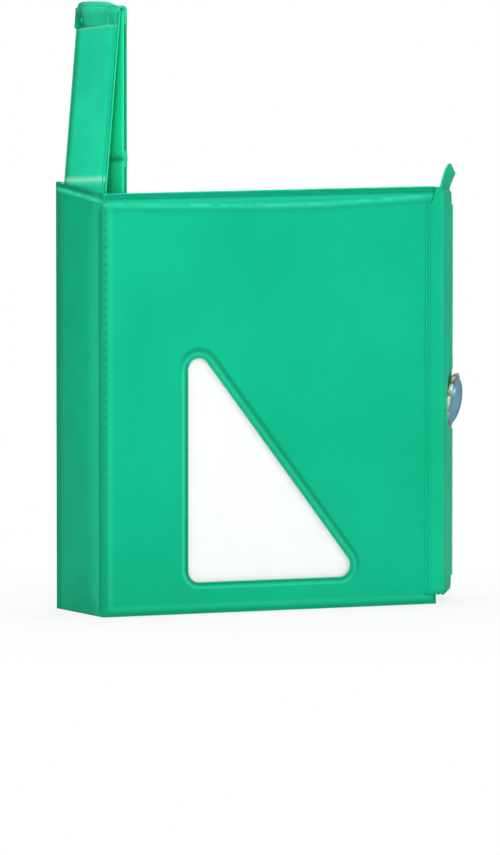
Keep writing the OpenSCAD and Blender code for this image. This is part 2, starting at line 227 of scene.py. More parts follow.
# what each of the other finishes has that differs from it
vinylFinishes = {
    "faceVinyl": {},
    # the face green with lines of painted shade and painted highlight along the rim, the ridge under it, the
    # side edges and the window's shoulders, and darker towards the base
    "frontVinylPaintedLight": {
        "lines": (
            ("rimGap", 1.5, 0.7, 0.6, 0.0, -0.5), ("ridgeGap", 0.1, 0.8, 0.0, 0.4, 0.4),
            ("ridgeGap", 2.0, 1.0, 0.2, 0.0, -0.2), ("baseGap", 0.0, 48.0, 0.13, 0.0, 0.0),
            ("edgeGap", 0.7, 0.8, 0.55, 0.0, -0.4), ("edgeGap", 2.8, 0.9, 0.0, 0.12, 0.1),
            ("sillGap", 0.55, 0.4, 0.65, 0.0, -0.3), ("sillGap", 1.9, 0.45, 0.0, 0.35, 0.3),
            ("slantGap", 1.6, 0.8, 0.0, 0.15, 0.2), ("slantGap", 2.8, 1.0, 0.62, 0.0, -0.3),
        ),
    },
    # a darker copy of the face green as painted shade on the side walls; its lines paint shade along the
    # rounded rear edge and under the rim, a highlight band near the front edge and below the rim, a dark line
    # at the front edge, and it darkens towards the base
    "spineVinylPaintedShade": {
        "colour": (0.0, 0.42, 0.22, 1), "deep": (0.0, 0.365, 0.187, 1),
        "drift": 30.0, "ripple": 0.5, "rippleScale": 50.0, "gloss": (0.3, 0.42),
        "lines": (
            ("runGap", 0.0, 5.5, 0.45, 0.0, -0.2), ("endGap", 5.5, 3.8, 0.0, 0.12, 0.2),
            ("endGap", 0.0, 0.9, 0.6, 0.0, -0.2), ("baseGap", 0.0, 48.0, 0.1, 0.0, 0.0),
            ("rimGap", 0.7, 0.5, 0.8, 0.0, -0.4), ("rimGap", 2.6, 0.7, 0.0, 0.3, 0.1),
        ),
    },
    # a lighter copy of the face green as painted light on the lid, with its own highlight tint; its lines
    # paint highlights across the root fold and below the crease, shade along the rear margin, the edges and
    # under the root highlight, and it darkens towards the crease end
    "lidVinylPaintedLight": {
        "colour": (0.012, 0.7, 0.38, 1), "deep": (0.008, 0.61, 0.33, 1), "paintedHighlight": (0.3, 0.85, 0.62, 1),
        "drift": 40.0, "ripple": 0.8, "rippleScale": 70.0, "gloss": (0.24, 0.36),
        "lines": (
            ("runGap", 7.6, 1.0, 0.0, 0.7, 0.5), ("endGap", 7.3, 0.5, 0.0, 0.25, 0.3),
            ("backGap", 0.4, 4.0, 0.8, 0.0, -0.6), ("edgeGap", 0.0, 0.8, 0.3, 0.0, 0.0),
            ("runGap", 4.4, 0.8, 0.25, 0.0, -0.3), ("endGap", 0.0, 46.0, 0.12, 0.0, 0.0),
        ),
    },
    # a lighter copy of the face green as painted light on the fold; its lines paint a fold shadow along the
    # diagonal dent, shade along the rear edge and at the fold's foot, and a highlight higher on the fold
    "creaseVinylPaintedLight": {
        "colour": (0.02, 0.66, 0.38, 1), "deep": (0.006, 0.5, 0.27, 1),
        "drift": 105.0, "ripple": 1.2, "rippleScale": 120.0, "gloss": (0.2, 0.34),
        "lines": (
            ("wedgeGap", -0.8, 5.0, 1.0, 0.0, -0.8), ("backGap", 0.2, 1.2, 0.4, 0.0, -0.3),
            ("foldGap", 0.0, 5.0, 0.25, 0.0, 0.0), ("foldGap", 7.0, 2.2, 0.0, 0.3, 0.3),
        ),
    },
    # a far lighter copy of the green as painted light on the lid's linings, which sit in shade between the
    # leaves; painted shade darkens their edges
    "liningVinylPaintedLight": {
        "colour": (0.03, 0.95, 0.56, 1), "deep": (0.025, 0.88, 0.5, 1),
        "drift": 40.0, "grain": 1500.0, "ripple": 0.4, "rippleScale": 60.0, "gloss": (0.38, 0.5),
        "lines": (("edgeGap", 0.0, 0.9, 0.2, 0.0, 0.0),),
    },
    # a lighter copy of the face green as painted light on the flap, which is seen at a grazing angle
    "flapVinylPaintedLight": {
        "colour": (0.004, 0.63, 0.35, 1), "deep": (0.003, 0.56, 0.3, 1),
        "drift": 30.0, "ripple": 0.5, "rippleScale": 60.0, "gloss": (0.34, 0.46),
    },
    # a lighter copy of the face green as painted light on the far leaf and the tuck; painted shade darkens
    # their edges
    "farVinylPaintedLight": {
        "colour": (0.008, 0.62, 0.3, 1), "deep": (0.006, 0.56, 0.27, 1),
        "drift": 40.0, "ripple": 0.6, "rippleScale": 70.0, "gloss": (0.3, 0.42),
        "lines": (("edgeGap", 0.0, 1.0, 0.35, 0.0, 0.0),),
    },
    # a lighter copy of the face green as a painted highlight on the weld beads and rim welds
    "weldVinylPaintedHighlight": {
        "colour": (0.03, 0.68, 0.41, 1), "deep": (0.012, 0.55, 0.3, 1),
        "drift": 220.0, "grain": 2600.0, "ripple": 0.3, "rippleScale": 240.0, "gloss": (0.16, 0.3),
    },
    "insideVinyl": {
        "colour": (0.004, 0.35, 0.18, 1), "deep": (0.003, 0.29, 0.15, 1),
        "drift": 40.0, "grain": 1500.0, "ripple": 0.5, "rippleScale": 60.0, "gloss": (0.38, 0.5),
    },
    "whiteLining": {
        "colour": (0.86, 0.87, 0.86, 1), "deep": (0.8, 0.82, 0.8, 1),
        "drift": 35.0, "grain": 1900.0, "ripple": 0.3, "rippleScale": 60.0, "gloss": (0.42, 0.55),
    },
}


def newMaterial(name):
    material = bpy.data.materials.new(name)
    material.use_nodes = True
    shader = material.node_tree.nodes["Principled BSDF"]
    return material, material.node_tree, shader


# the window's pressed lines, and the painted shade and highlights along them, are each on some of its sides
# only, as light falls on each side's shoulder
fadingLines = {"slantGap": "slantFade", "sillGap": "sillFade"}
vinylBump = {"strength": 0.5, "distance": 0.0012}
vinylSpecular = 0.08


def makeVinyl(name, finish):
    material, tree, shader = newMaterial(name)
    glossLow, glossHigh = finish["gloss"]
    surface = addNode(tree, "ShaderNodeGroup", {
        "Colour": finish["colour"], "Deep Colour": finish["deep"], "Drift Scale": finish["drift"],
        "Grain Scale": finish["grain"], "Ripple Scale": finish["rippleScale"], "Ripple": finish["ripple"],
        "Gloss Low": glossLow, "Gloss High": glossHigh,
    }, node_tree=vinylGroup).outputs
    colour, height = surface["Colour"], surface["Height"]
    paintedShades, lights = [], []
    for source, centre, width, dark, light, lift in finish["lines"]:
        line = addNode(tree, "ShaderNodeGroup", {
            "Gap": attributeNode(tree, source), "Centre": centre, "Width": width,
            "PaintedShade": dark, "Light": light, "Lift": lift,
        }, node_tree=pressedLinePaintedLight)
        parts = list(line.outputs)
        if source in fadingLines:
            fade = attributeNode(tree, fadingLines[source])
            parts = [mathNode(tree, "MULTIPLY", part, fade) for part in parts]
        paintedShades.append(parts[0])
        lights.append(parts[1])
        height = mathNode(tree, "ADD", height, parts[2])
    # the strongest painted shade mixes towards the darker tint and the strongest painted highlight towards
    # the lighter one
    for strengths, tint in ((paintedShades, finish["paintedShade"]), (lights, finish["paintedHighlight"])):
        if strengths:
            strongest = reduce(lambda a, b: mathNode(tree, "MAXIMUM", a, b), strengths)
            colour = mixColour(tree, strongest, colour, tint)
    setSockets(tree, shader, {
        "Base Color": colour, "Roughness": surface["Roughness"], "Specular IOR Level": vinylSpecular,
        "Normal": bumpNode(tree, height, vinylBump["strength"], vinylBump["distance"]),
    })
    return material


vinyls = {name: makeVinyl(name, {**faceFinish, **finish}) for name, finish in vinylFinishes.items()}
cardLook = {
    "fibre": 900.0, "detail": 4.0, "rough": 0.7, "dark": (0.2, 0.17, 0.12, 1), "pale": (0.42, 0.37, 0.29, 1),
    "matt": 0.9,
}
filmLook = {
    "wave": 35.0, "waveDetail": 2.0, "strength": 0.3, "distance": 0.002, "haze": 60.0, "hazeDetail": 3.0,
    "hazeLow": 0.3, "hazeHigh": 0.7, "cloudy": 0.9, "clear": 0.94, "gloss": 0.12, "index": 1.35,
}
snapLook = {
    "brush": 700.0, "brushDetail": 3.0, "rough": 0.6, "brushLow": 0.3, "brushHigh": 0.7, "glossLow": 0.22,
    "glossHigh": 0.38, "tarnish": 260.0, "tarnishDetail": 4.0, "domeLow": 0.35, "domeHigh": 0.7,
    "ringLow": 0.42, "ringHigh": 0.58, "metallic": 0.35,
    "dome": ((0.24, 0.54, 0.68, 1), (0.13, 0.35, 0.46, 1)),
    # the rim's cream is a painted reflection and its brown is tarnish
    "ring": ((0.85, 0.88, 0.74, 1), (0.22, 0.17, 0.09, 1)),
}


def makeCard():
    spec = cardLook
    material, tree, shader = newMaterial("greyCard")
    fibre = noiseNode(tree, objectCoords(tree), spec["fibre"], spec["detail"], spec["rough"])
    colour = mixColour(tree, fibre, spec["dark"], spec["pale"])
    setSockets(tree, shader, {"Base Color": colour, "Roughness": spec["matt"]})
    return material


def makeFilm():
    spec = filmLook
    material, tree, shader = newMaterial("clearFilm")
    coords = objectCoords(tree)
    wave = noiseNode(tree, coords, spec["wave"], spec["waveDetail"])
    haze = noiseNode(tree, coords, spec["haze"], spec["hazeDetail"])
    setSockets(tree, shader, {
        "Base Color": (1, 1, 1, 1), "Roughness": spec["gloss"], "IOR": spec["index"],
        "Alpha": remap(tree, haze, spec["hazeLow"], spec["hazeHigh"], spec["cloudy"], spec["clear"]),
        "Normal": bumpNode(tree, wave, spec["strength"], spec["distance"]),
    })
    return material


def makeSnapMetal():
    # a coloured dome in a rolled rim whose cream is a painted reflection, patched with brown tarnish
    spec = snapLook
    material, tree, shader = newMaterial("nickelSnap")
    coords = objectCoords(tree)
    brush = noiseNode(tree, coords, spec["brush"], spec["brushDetail"], spec["rough"])
    tarnish = noiseNode(tree, coords, spec["tarnish"], spec["tarnishDetail"], spec["rough"])
    dome = mixColour(tree, remap(tree, tarnish, spec["domeLow"], spec["domeHigh"]), *spec["dome"])
    ring = mixColour(tree, remap(tree, tarnish, spec["ringLow"], spec["ringHigh"]), *spec["ring"])
    setSockets(tree, shader, {
        "Base Color": mixColour(tree, attributeNode(tree, "rolledRimReflectionAndTarnish"), dome, ring),
        "Roughness": remap(
            tree, brush, spec["brushLow"], spec["brushHigh"], spec["glossLow"], spec["glossHigh"],
        ),
        "Metallic": spec["metallic"],
    })
    return material


cardMaterial = makeCard()
filmMaterial = makeFilm()
snapMaterial = makeSnapMetal()
print("materials made")


# vinyl sheets: triangulated outlines with a soft relief
def segmentDistance(points, loop):
    best = np.full(len(points), 1e9)
    ends = np.roll(loop, -1, axis=0)
    for start, end in zip(loop, ends):
        along = end - start
        t = np.clip(((points - start) @ along) / max(along @ along, 1e-9), 0, 1)
        best = np.minimum(best, np.linalg.norm(points - start - t[:, None] * along, axis=1))
    return best


def insideLoop(points, loop):
    inside = np.zeros(len(points), bool)
    ends = np.roll(loop, -1, axis=0)
    for (x0, y0), (x1, y1) in zip(loop, ends):
        crosses = (y0 > points[:, 1]) != (y1 > points[:, 1])
        with np.errstate(divide="ignore", invalid="ignore"):
            at = (x1 - x0) * (points[:, 1] - y0) / (y1 - y0) + x0
        inside ^= crosses & (points[:, 0] < at)
    return inside


def densify(loop, step):
    out = []
    for a, b in zip(loop, loop[1:] + loop[:1]):
        count = max(1, round(math.dist(a, b) / step))
        out += [(a[0] + (b[0] - a[0]) * i / count, a[1] + (b[1] - a[1]) * i / count) for i in range(count)]
    return out


def meshObject(name, verts, faces, material, smooth=True):
    mesh = bpy.data.meshes.new(name)
    mesh.from_pydata([Vector(v) * mm for v in verts], [], faces)
    mesh.update()
    if smooth:
        mesh.shade_smooth()
    obj = bpy.data.objects.new(name, mesh)
    bpy.context.scene.collection.objects.link(obj)
    mesh.materials.append(material)
    return obj


def addWall(obj, thick):
    # the sheet's thickness, taken inwards
    wall = obj.modifiers.new("wall", "SOLIDIFY")
    wall.thickness = thick * mm
    wall.offset = -1


def storeLayers(obj, layers):
    for label, values in layers.items():
        layer = obj.data.attributes.new(label, "FLOAT", "POINT")
        layer.data.foreach_set("value", np.ascontiguousarray(values, dtype=np.float32))


farAway = 1e3
# shares of a mesh step that points keep from an edge, and the smallest triangle kept, in square steps
meshClear = {"rim": 0.45, "hole": 0.35, "sliver": 0.002}
# where the lines along the window's straight sides give way to those along its slanted one
slantTurn = {"start": 3, "reach": 9, "tip": 6, "tipReach": 8}


def vinylSheet(name, outline, place, relief, spec, material, hole=None, rimAt=None, ridgeAt=None):
    # place(u, v, h) gives a point; u cross v must point out of the case
    step = spec["step"]
    loops = [densify(outline, step)] + ([densify(hole, step / 2)] if hole else [])
    rim = np.array(loops[0])
    low, high = rim.min(axis=0), rim.max(axis=0)
    us = np.arange(low[0] + step / 2, high[0], step)
    vs = np.arange(low[1] + step / 2, high[1], step)
    grid = np.array([(u + (step / 2 if j % 2 else 0), v) for j, v in enumerate(vs) for u in us])
    keep = insideLoop(grid, rim) & (segmentDistance(grid, rim) > step * meshClear["rim"])
    if hole:
        cut = np.array(loops[1])
        keep &= ~insideLoop(grid, cut) & (segmentDistance(grid, cut) > step * meshClear["hole"])
    points = [tuple(p) for loop in loops for p in loop] + [tuple(p) for p in grid[keep]]
    edges, start = [], 0
    for loop in loops:
        edges += [(start + i, start + (i + 1) % len(loop)) for i in range(len(loop))]
        start += len(loop)
    flat, _, faces, *_ = delaunay_2d_cdt([Vector(p) for p in points], edges, [], 0, 1e-6)
    flat = np.array([tuple(p) for p in flat])
    corners = np.array([flat[list(f)] for f in faces])
    middles = corners.mean(axis=1)
    (ax, ay), (bx, by) = (corners[:, 1] - corners[:, 0]).T, (corners[:, 2] - corners[:, 0]).T
    # the slivers along straight edges are left out with what lies outside
    full = np.abs(ax * by - ay * bx) > meshClear["sliver"] * step * step
    good = insideLoop(middles, rim) & full
    if hole:
        good &= ~insideLoop(middles, cut)
    faces = [f for f, ok in zip(faces, good) if ok]
    used = sorted({i for f in faces for i in f})
    number = {old: new for new, old in enumerate(used)}
    faces = [tuple(number[i] for i in f) for f in faces]
    flat = flat[used]
    edgeGap = segmentDistance(flat, rim)
    holeGap = segmentDistance(flat, cut) if hole else np.full(len(flat), farAway)
    verts = [place(u, v, relief(u, v, e, h)) for (u, v), e, h in zip(flat, edgeGap, holeGap)]
    obj = meshObject(name, verts, faces, material)
    slant = np.zeros(len(flat))
    if hole:
        straight = np.minimum(flat[:, 0] - cut[:, 0].min(), flat[:, 1] - cut[:, 1].min())
        slant = np.clip((straight + 2 * holeGap - slantTurn["start"]) / slantTurn["reach"], 0, 1)
        tip = flat[:, 1] - cut[:, 1].max() + slantTurn["tip"]
        slant = np.maximum(slant, np.clip(tip / slantTurn["tipReach"], 0, 1))
    rimLine = np.array([rimAt(u) for u in flat[:, 0]]) if rimAt else np.full(len(flat), farAway)
    ridgeLine = np.array([ridgeAt(u) for u in flat[:, 0]]) if ridgeAt else rimLine
    # distances from rim, edges, cut and root, in millimetres, for the pressed lines and the painted shade and
    # highlights along them
    storeLayers(obj, {
        "rimGap": rimLine - flat[:, 1], "ridgeGap": ridgeLine - flat[:, 1], "baseGap": flat[:, 1] - low[1],
        "edgeGap": edgeGap, "runGap": flat[:, 0] - low[0], "endGap": high[0] - flat[:, 0],
        "backGap": high[1] - flat[:, 1],
        "slantGap": holeGap, "sillGap": holeGap, "slantFade": slant, "sillFade": 1 - slant,
    })
    addWall(obj, spec["thick"])
    return obj


def smoothStep(t):
    t = min(1.0, max(0.0, t))
    return t * t * (3 - 2 * t)


def sway(u, v, seed, size):
    return noise.noise(Vector((u / size, v / size, seed * 7.3)))


def roundedLoop(corners, radii, steps=7):
    out = []
    count = len(corners)
    for i, corner in enumerate(corners):
        corner = Vector(corner)
        before = (Vector(corners[i - 1]) - corner).normalized()
        after = (Vector(corners[(i + 1) % count]) - corner).normalized()
        half = before.angle(after) / 2
        r = radii[i]
        if r == 0:
            out.append(tuple(corner))
            continue
        centre = corner + (before + after).normalized() * (r / math.sin(half))
        start = corner + before * (r / math.tan(half)) - centre
        end = corner + after * (r / math.tan(half)) - centre
        turn = start.angle_signed(end)
        for k in range(steps + 1):
            a = -turn * k / steps
            c, s = math.cos(a), math.sin(a)
            out.append((centre.x + start.x * c - start.y * s, centre.y + start.x * s + start.y * c))
    return out


frontPanel = {
    "thick": 0.8, "step": 1.5, "seed": 3, "pillow": 0.55, "pillowReach": 9.0, "wave": 0.3,
    "waveSize": 38.0, "creaseX": 29.4, "creaseLow": 74.0, "crease": 0.22, "creaseWidth": 1.6,
    "creaseRise": 25.0, "creaseStop": 9.0, "windowReach": 7.0, "windowLevel": 0.35, "windowLip": 0.25,
    "lipWidth": 1.2,
}
filmLow, filmHigh = nodeBox("window_film")
windowCut = {"lap": 5.0, "radius": 4.4, "arcSteps": 12}
cutLow = filmLow + Vector((1, 0, 1)) * windowCut["lap"]
cutHigh = filmHigh - Vector((1, 0, 1)) * windowCut["lap"]


def windowLoop(grow):
    # the same three corner arcs as the film, whose middles stay where they are
    r = windowCut["radius"]
    middles = (
        (cutLow.x + r, cutLow.z + r), (cutHigh.x - r, cutLow.z + r), (cutLow.x + r, cutHigh.z - r)
    )
    slope = math.atan2(middles[2][1] - middles[1][1], middles[2][0] - middles[1][0]) - math.pi / 2
    spans = ((math.pi, 1.5 * math.pi), (-0.5 * math.pi, slope), (slope, math.pi))
    out = []
    for (x, z), (a0, a1) in zip(middles, spans):
        for k in range(windowCut["arcSteps"] + 1):
            a = a0 + (a1 - a0) * k / windowCut["arcSteps"]
            out.append((x + (r + grow) * math.cos(a), z + (r + grow) * math.sin(a)))
    return out


leastPillow = 0.02


def pillowRelief(spec, seed=None):
    # the padding swells from the welded edges inwards, with slow waves in it
    def relief(u, v, edgeGap, holeGap):
        soft = smoothStep(edgeGap / spec["pillowReach"])
        wave = sway(u, v, seed or spec["seed"], spec["waveSize"])
        height = spec["pillow"] * soft + spec["wave"] * soft * (0.5 + wave)
        return max(leastPillow, height)
    return relief


def frontRim(u):
    return rimHeight + frontClimb * (u + halfWidth) / (2 * halfWidth)


def frontRelief(u, v, edgeGap, holeGap):
    spec = frontPanel
    height = pillowRelief(spec)(u, v, edgeGap, holeGap)
    if v > spec["creaseLow"]:
        fade = smoothStep((v - spec["creaseLow"]) / spec["creaseRise"])
        fade *= smoothStep((frontRim(u) - v) / spec["creaseStop"])
        height += spec["crease"] * fade * math.exp(-(((u - spec["creaseX"]) / spec["creaseWidth"]) ** 2))
    away = smoothStep(holeGap / spec["windowReach"])
    level = spec["windowLevel"] + (1 - spec["windowLevel"]) * away
    return height * level + spec["windowLip"] * math.exp(-((holeGap / spec["lipWidth"]) ** 2))


# heights of the soft ridge under the front's rim: level at first, then it climbs to the flap
ridgePlaces = ((-66.0, 144.4), (-30.0, 144.4), (0.0, 144.6), (19.0, 145.2), (48.0, 147.1), (66.0, 148.4))


def frontRidge(u):
    return float(np.interp(u, *zip(*ridgePlaces)))


frontFace = vinylSheet(
    "frontFace",
    [
        (-halfWidth, 0.0), (halfWidth, 0.0),
        (halfWidth, rimHeight + frontClimb), (-halfWidth, rimHeight),
    ],
    lambda u, v, h: (u, -halfDepth - h, v),
    frontRelief, frontPanel, vinyls["frontVinylPaintedLight"], hole=windowLoop(0), rimAt=frontRim, ridgeAt=frontRidge,
)
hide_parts("front_skin")
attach(frontFace, "case")

spinePanel = {
    "thick": 0.8, "step": 1.5, "seed": 5, "pillow": 0.9, "pillowReach": 12.0, "wave": 0.5, "waveSize": 30.0,
}
spineFace = vinylSheet(
    "spineFace",
    [
        (-halfDepth, 0.0), (halfDepth, 0.0),
        (halfDepth, rimHeight), (-halfDepth, rimHeight + cornerRise),
    ],
    lambda u, v, h: (-halfWidth - h, -u, v),
    pillowRelief(spinePanel), spinePanel, vinyls["spineVinylPaintedShade"],
    rimAt=lambda u: rimHeight + cornerRise * (halfDepth - u) / (2 * halfDepth),
)
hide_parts("spine_skin")
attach(spineFace, "case")

backPanel = {
    "thick": 0.8, "step": 2.0, "seed": 8, "pillow": 0.55, "pillowReach": 9.0, "wave": 0.4, "waveSize": 42.0,
    "run": 26.0,
}
backFace = vinylSheet(
    "backFace",
    [
        (-halfWidth, 0.0), (halfWidth, 0.0), (halfWidth, rimHeight + cornerRise),
        (halfWidth - backPanel["run"], rimHeight), (-halfWidth, rimHeight),
    ],
    lambda u, v, h: (-u, halfDepth + h, v),
    pillowRelief(backPanel), backPanel, vinyls["faceVinyl"],
)
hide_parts("back_skin")
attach(backFace, "case")

endPanel = {
    "thick": 0.8, "step": 2.0, "seed": 11, "pillow": 0.3, "pillowReach": 8.0, "wave": 0.2, "waveSize": 26.0,
}
endFace = vinylSheet(
    "endFace",
    [
        (-halfDepth, 0.0), (halfDepth, 0.0),
        (halfDepth, rimHeight), (-halfDepth, rimHeight + frontClimb),
    ],
    lambda u, v, h: (halfWidth + h, u, v),
    pillowRelief(endPanel), endPanel, vinyls["spineVinylPaintedShade"],
)
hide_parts("end_skin")
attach(endFace, "case")
print("panels made")


# welds: a bead swept along its path by one tree
beadMesh = {"sides": 12, "shakeScale": 90.0, "leastStep": 0.5, "stepShare": 0.7}


def makeBeadTree():
    tree = bpy.data.node_groups.new("weldBead", "GeometryNodeTree")
    for label, kind in (
        ("Path", "Geometry"), ("Radius", "Float"), ("Step", "Float"), ("Ripple", "Float"), ("Pitch", "Float"),
        ("Wander", "Float"), ("Sides", "Int"), ("Finish", "Material"),
    ):
        tree.interface.new_socket(name=label, in_out="INPUT", socket_type="NodeSocket" + kind)
    tree.interface.new_socket(name="Bead", in_out="OUTPUT", socket_type="NodeSocketGeometry")
    given = tree.nodes.new("NodeGroupInput").outputs
    curve = addNode(tree, "GeometryNodeMeshToCurve", {"Mesh": given["Path"]}).outputs["Curve"]
    even = addNode(
        tree, "GeometryNodeResampleCurve", {"Curve": curve, "Length": given["Step"]}, mode="LENGTH",
    )
    # the ripple that the sealing bar leaves: the radius swells once a pitch
    along = tree.nodes.new("GeometryNodeSplineParameter").outputs["Length"]
    turns = mathNode(tree, "MULTIPLY", mathNode(tree, "DIVIDE", along, given["Pitch"]), 2 * math.pi)
    ripple = mathNode(tree, "MULTIPLY", mathNode(tree, "SINE", turns), given["Ripple"])
    swell = mathNode(tree, "ADD", ripple, 1.0)
    place = tree.nodes.new("GeometryNodeInputPosition").outputs[0]
    shake = addNode(tree, "ShaderNodeTexNoise", {"Vector": place, "Scale": beadMesh["shakeScale"]})
    centred = addNode(
        tree, "ShaderNodeVectorMath", {0: shake.outputs["Color"], 1: (0.5, 0.5, 0.5)}, operation="SUBTRACT",
    )
    wander = addNode(
        tree, "ShaderNodeVectorMath", {0: centred.outputs[0], "Scale": given["Wander"]}, operation="SCALE",
    )
    moved = addNode(tree, "GeometryNodeSetPosition", {
        "Geometry": even.outputs["Curve"], "Offset": wander.outputs[0],
    })
    sized = addNode(tree, "GeometryNodeSetCurveRadius", {"Curve": moved.outputs["Geometry"], "Radius": swell})
    ring = addNode(tree, "GeometryNodeCurvePrimitiveCircle", {
        "Resolution": given["Sides"], "Radius": given["Radius"],
    })
    sweep = addNode(tree, "GeometryNodeCurveToMesh", {
        "Curve": sized.outputs["Curve"], "Profile Curve": ring.outputs["Curve"], "Fill Caps": True,
    })
    if "Scale" in sweep.inputs:
        setSockets(tree, sweep, {"Scale": swell})
    smooth = addNode(tree, "GeometryNodeSetShadeSmooth", {"Geometry": sweep.outputs["Mesh"]})
    real = addNode(tree, "GeometryNodeRealizeInstances", {"Geometry": smooth.outputs["Geometry"]})
    paint = addNode(tree, "GeometryNodeSetMaterial", {
        "Geometry": real.outputs["Geometry"], "Material": given["Finish"],
    })
    addNode(tree, "NodeGroupOutput", {"Bead": paint.outputs["Geometry"]})
    return tree


beadTree = makeBeadTree()


def weldBead(name, paths, radius, body, material, ripple=0.1, pitch=2.1, wander=0.08, closed=False):
    mesh = bpy.data.meshes.new(name + "Path")
    verts, edges = [], []
    for path in paths:
        start = len(verts)
        verts += [Vector(p) * mm for p in path]
        edges += [(start + i, start + i + 1) for i in range(len(path) - 1)]
        if closed:
            edges.append((start + len(path) - 1, start))
    mesh.from_pydata(verts, edges, [])
    guide = bpy.data.objects.new(name + "Guide", mesh)
    bpy.context.scene.collection.objects.link(guide)
    modifier = guide.modifiers.new("bead", "NODES")
    modifier.node_group = beadTree
    sockets = {
        item.name: item.identifier for item in beadTree.interface.items_tree if item.in_out == "INPUT"
    }
    step = max(beadMesh["leastStep"], radius * beadMesh["stepShare"])
    values = {
        "Radius": radius * mm, "Step": step * mm, "Ripple": ripple, "Pitch": pitch * mm,
        "Wander": wander * mm, "Sides": beadMesh["sides"], "Finish": material,
    }
    for label, value in values.items():
        modifier[sockets[label]] = value
    depsgraph = bpy.context.evaluated_depsgraph_get()
    swept = bpy.data.meshes.new_from_object(guide.evaluated_get(depsgraph))
    bpy.data.objects.remove(guide)
    obj = bpy.data.objects.new(name, swept)
    bpy.context.scene.collection.objects.link(obj)
    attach(obj, body)
    return obj


rimWeld = {
    "radius": 0.85, "sink": 0.3, "start": 2.0, "stop": 2.4, "points": 24, "left": 145.6, "corner": 150.4,
    "back": 144.6, "spineStop": 2.5,
}


def rimRidge():
    spec = rimWeld
    x, y = halfWidth - spec["sink"], halfDepth - spec["sink"]
    frontRun = np.linspace(-x + spec["start"], halfWidth - spec["stop"], spec["points"])
    front = [(u, -y, frontRidge(u)) for u in frontRun]
    spine = [(-x, -y + spec["start"], spec["left"]), (-x, y - spec["spineStop"], spec["corner"])]
    back = [(-halfWidth + backPanel["run"], y, spec["back"]), (halfWidth - spec["start"], y, spec["back"])]
    return [front, spine, back]


rimBead = weldBead(
    "rimBead", rimRidge(), rimWeld["radius"], "case", vinyls["weldVinylPaintedHighlight"], ripple=0.04, pitch=9.0, wander=0.2,
)
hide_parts("front_rim_bead", "back_rim_bead", "spine_rim_bead")

lipWeld = {"radius": 0.42, "inset": 0.4, "sink": 0.05, "turn": 1.0}


def lipPath():
    # along the cut edge of the front, the end wall and the back
    x, y, z = halfWidth - lipWeld["inset"], halfDepth - lipWeld["inset"], rimHeight - lipWeld["sink"]
    turn = lipWeld["turn"]
    return [
        (-x, -y, z), (x - turn, -y, z + frontClimb), (x, -y + turn, z + frontClimb), (x, y - turn, z),
        (x - turn, y, z), (-halfWidth + backPanel["run"], y, z), (-x, y, z + cornerRise),
    ]


weldBead(
    "rimLip", [lipPath()], lipWeld["radius"], "case", vinyls["weldVinylPaintedHighlight"], ripple=0.04, pitch=6.0, wander=0.2,
)
windowWeld = {"radius": 1.2, "sink": 0.9, "gap": 1.8}
windowBead = weldBead(
    "windowBead",
    [[(x, -halfDepth + windowWeld["sink"], z) for x, z in windowLoop(windowWeld["gap"])]],
    windowWeld["radius"], "case", vinyls["faceVinyl"], ripple=0.02, pitch=7.0, wander=0.3, closed=True,
)
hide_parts("window_weld")
spineWeld = {"radius": 0.5, "proud": 0.1, "inset": 2.4, "foot": 1.5, "head": 5.5}
edgeX, edgeY = -halfWidth - spineWeld["proud"], halfDepth - spineWeld["inset"]
spineBeads = weldBead(
    "spineBeads",
    [
        [(edgeX, side * edgeY, spineWeld["foot"]), (edgeX, side * edgeY, rimHeight - spineWeld["head"])]
        for side in (-1, 1)
    ],
    spineWeld["radius"], "case", vinyls["spineVinylPaintedShade"], ripple=0.03,
)
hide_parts("spine_edge_beads")
print("welds made")


# the lid's two leaves and its tuck, each in vinyl with a lining
lidSheet = {
    "thick": 0.5, "step": 1.5, "pillow": 0.35, "pillowReach": 5.0, "wave": 0.45, "waveSize": 22.0,
    "skinTop": 1.7, "tuckSwell": 0.35,
}
lidLining = {"thick": 0.3, "step": 2.5, "height": 0.4, "swell": 0.3, "seedShift": 10}


def leafPlace(origin, turn):
    # closed coordinates: s along the lid, y across it, n up; turned about the hinge line
    spin = Matrix.Rotation(turn, 4, "Y")
    base = Vector((origin.x, 0, origin.z))

    def place(s, y, n):
        return tuple(base + spin @ Vector((s, y, n)))
    return place


nearTurn = lidLean - math.pi / 2
farTurn = math.pi / 2
nearPlace = leafPlace(lidAxis, nearTurn)
farPlace = leafPlace(creaseAxis, farTurn)
tuckPlace = leafPlace(tuckAxis, farTurn)


def leafOutline(s0, s1, radii):
    root, end = radii
    corners = [(s0, -lidHalf), (s1, -lidHalf), (s1, lidHalf), (s0, lidHalf)]
    return roundedLoop(corners, [root, end, end, root])


def lidPiece(name, node, body, place, s0, s1, seed, finish, radii, swell=1.0):
    piece = vinylSheet(
        name, leafOutline(s0, s1, radii),
        lambda u, v, h: place(u, v, lidSheet["skinTop"] + h * swell),
        pillowRelief(lidSheet, seed), lidSheet, vinyls[finish],
    )
    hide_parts(node + "_skin")
    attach(piece, body)
    inner = vinylSheet(
        name.replace("Face", "Inner"), leafOutline(s0, s1, radii),
        lambda u, v, h: place(u, -v, lidLining["height"] - lidLining["swell"] * h),
        pillowRelief(lidSheet, seed + lidLining["seedShift"]), lidLining, vinyls["liningVinylPaintedLight"],
    )
    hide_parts(node + "_lining")
    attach(inner, body)


